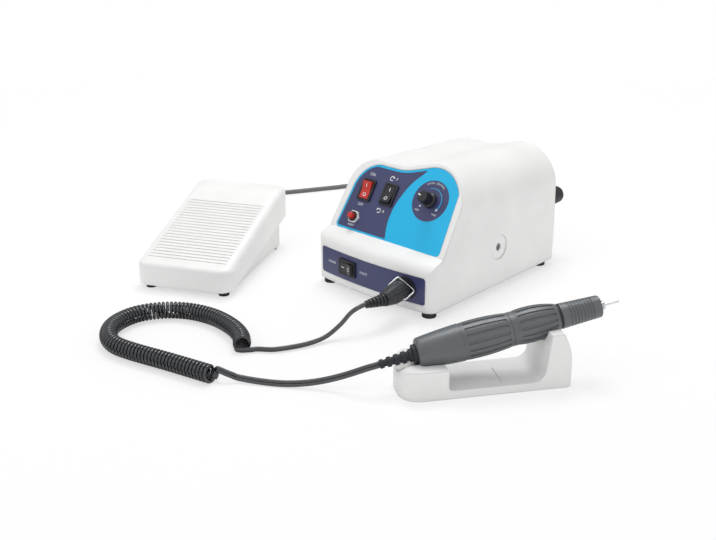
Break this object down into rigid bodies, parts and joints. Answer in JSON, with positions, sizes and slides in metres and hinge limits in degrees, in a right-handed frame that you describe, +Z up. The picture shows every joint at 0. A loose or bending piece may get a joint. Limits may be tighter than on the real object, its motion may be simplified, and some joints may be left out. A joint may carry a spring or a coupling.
{
  "type": "dental laboratory micromotor",
  "caption": "Bench micromotor set: control box with sloping panel, curly cord, grey handpiece resting in a cradle, and a foot pedal on its own cable.",
  "frame": {"origin": "middle of the floor area of the box, pedal and cradle together", "axes": "+Z up, +Y from the control panel to the back of the box, +X to the right of the panel"},
  "size_m": [0.5072, 0.5052, 0.1207],
  "materials": {
    "shell": "satin white",
    "base_metal": "grey",
    "panel_blue": "printed film, cyan and navy",
    "panel_navy": "printed film, navy",
    "rubber": "matte",
    "steel": "machined",
    "chrome": "bright",
    "black_plastic": "matte black",
    "red_plastic": "gloss red",
    "grey_paint": "satin grey",
    "white_plastic": "satin white",
    "cradle_white": "satin white",
    "cord_dark": "satin dark grey",
    "cord_grey": "satin grey",
    "copper": "bare",
    "board": "solder mask",
    "iron": "laminated",
    "aluminium": "bare",
    "brown_plastic": "moulded phenolic"
  },
  "bodies": {
    "unit": {"housing": "shell", "base_plate": "base_metal", "upper_panel": "panel_blue", "lower_panel": "panel_navy", "box_feet": "rubber", "housing_screws": "steel", "power_switch": "black_plastic", "direction_switch": "black_plastic", "mode_switch": "black_plastic", "reset_breaker": "black_plastic", "reset_nut": "chrome", "speed_control": "base_metal", "motor_socket": "aluminium", "motor_plug": "rubber", "transformer_core": "iron", "transformer_coil": "copper", "control_board": "board", "heat_sink": "aluminium", "mains_inlet": "black_plastic", "fuse_holder": "black_plastic", "foot_jack": "aluminium", "foot_plug": "rubber", "pedal_base": "white_plastic", "treadle_pin": "steel", "pedal_spring": "steel", "foot_switch": "black_plastic", "pedal_gland": "rubber", "pedal_feet": "rubber", "cradle": "cradle_white", "motor_cord": "cord_dark", "curly_cord": "cord_dark", "hand_cord": "cord_dark", "foot_cord": "cord_grey", "foot_coil": "cord_grey"},
    "power_rocker": {"power_rocker": "red_plastic"},
    "direction_rocker": {"direction_rocker": "black_plastic"},
    "mode_rocker": {"mode_rocker": "black_plastic"},
    "reset_button": {"reset_button": "red_plastic"},
    "speed_knob": {"speed_knob": "black_plastic", "speed_shaft": "steel"},
    "plug_bail": {"plug_bail": "chrome"},
    "fuse_cap": {"fuse_cap": "black_plastic"},
    "treadle": {"treadle": "white_plastic"},
    "switch_plunger": {"switch_plunger": "red_plastic"},
    "handpiece": {"rear_cap": "grey_paint", "cord_relief": "rubber", "motor_housing": "grey_paint", "front_grip": "grey_paint", "dust_ring": "rubber", "nose_tube": "steel", "field_magnet": "iron", "brush_holder": "brown_plastic", "brushes": "black_plastic", "bearings": "steel"},
    "chuck_sleeve": {"chuck_sleeve": "grey_paint"},
    "spindle": {"spindle": "steel", "armature": "copper", "commutator": "copper", "collet": "chrome"},
    "tool_shank": {"tool_shank": "chrome"}
  },
  "joints": [
    {"name": "power_tip", "type": "hinge", "parent": "unit", "child": "power_rocker", "pos_m": [-0.0345, 0.00213, 0.08671], "axis": [1, 0, 0], "range_deg": [-20, 0]},
    {"name": "direction_tip", "type": "hinge", "parent": "unit", "child": "direction_rocker", "pos_m": [-0.0081, 0.00268, 0.08755], "axis": [1, 0, 0], "range_deg": [0, 20]},
    {"name": "mode_tip", "type": "hinge", "parent": "unit", "child": "mode_rocker", "pos_m": [-0.01982, -0.04031, 0.0255], "axis": [0, 0, 1], "range_deg": [0, 20]},
    {"name": "reset_press", "type": "slide", "parent": "unit", "child": "reset_button", "axis": [0, -0.8387, 0.5446], "range_m": [-0.0025, 0], "stiffness_N_per_m": 600, "springref_m": 0.003},
    {"name": "speed_turn", "type": "hinge", "parent": "unit", "child": "speed_knob", "pos_m": [0.0378, 0.00146, 0.0943], "axis": [0, -0.8387, 0.5446], "range_deg": [-210, 60]},
    {"name": "bail_swing", "type": "hinge", "parent": "unit", "child": "plug_bail", "pos_m": [0.05002, -0.05275, 0.0255], "axis": [0.887, 0.0842, -0.454], "range_deg": [0, 100]},
    {"name": "fuse_turn", "type": "hinge", "parent": "unit", "child": "fuse_cap", "pos_m": [0.0087, 0.1532, 0.038], "axis": [0, 1, 0], "range_deg": [0, 60]},
    {"name": "treadle_press", "type": "hinge", "parent": "unit", "child": "treadle", "pos_m": [-0.13644, -0.13122, 0.012], "axis": [-0.8988, -0.4384, 0], "range_deg": [0, 3], "stiffness_Nm_per_rad": 3, "springref_deg": -8.59, "deforming": ["pedal_spring"]},
    {"name": "plunger_push", "type": "slide", "parent": "unit", "child": "switch_plunger", "axis": [0, 0, -1], "range_m": [0, 0.00178]},
    {"name": "handpiece_lift", "type": "slide", "parent": "unit", "child": "handpiece", "axis": [0, 0, 1], "range_m": [0, 0.06]},
    {"name": "chuck_twist", "type": "hinge", "parent": "handpiece", "child": "chuck_sleeve", "pos_m": [0.14363, -0.13804, 0.0296], "axis": [0.5713, 0.801, 0.1788], "range_deg": [0, 60]},
    {"name": "spindle_spin", "type": "hinge", "parent": "handpiece", "child": "spindle", "pos_m": [0.14363, -0.13804, 0.0296], "axis": [0.5713, 0.801, 0.1788], "continuous": true},
    {"name": "tool_pull", "type": "slide", "parent": "spindle", "child": "tool_shank", "axis": [0.5713, 0.801, 0.1788], "range_m": [0, 0.03]}
  ],
  "couplings": [
    {"joint": "plunger_push", "follows": "treadle_press", "m_per_rad": 0.034}
  ]
}
